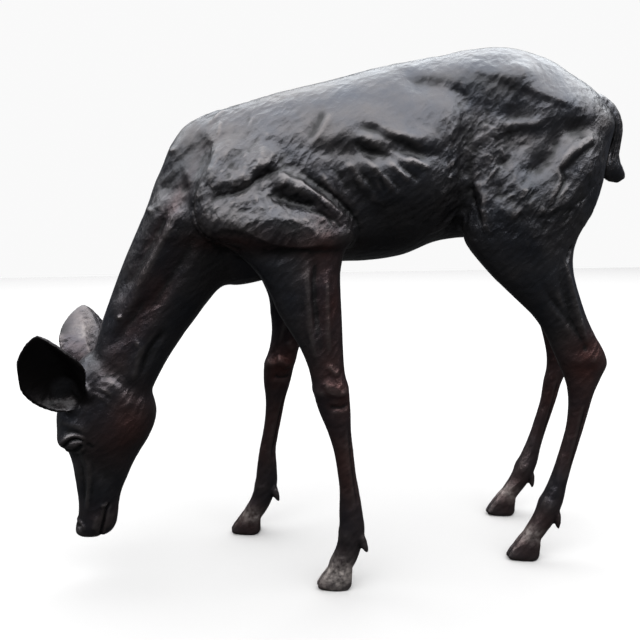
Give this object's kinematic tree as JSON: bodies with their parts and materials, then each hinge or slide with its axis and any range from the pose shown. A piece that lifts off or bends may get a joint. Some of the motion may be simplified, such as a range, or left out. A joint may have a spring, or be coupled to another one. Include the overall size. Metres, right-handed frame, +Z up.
{
  "type": "deer sculpture",
  "caption": "Life-like cast bronze sculpture of a doe grazing: head lowered on a long neck, ears spread, legs in mid-step, short tail, dark patina.",
  "frame": {"origin": "on the ground under the middle of the figure's overall box", "axes": "+X towards the tail (the doe faces -X), +Y towards the doe's right side, +Z up"},
  "size_m": [1.068, 0.2638, 0.919],
  "materials": {
    "bronze": "dark brown-black chemical patina under wax, glossy, with worn warm tints on the knees, neck and shanks"
  },
  "bodies": {
    "root": {"deer_figure": "bronze"}
  },
  "joints": []
}
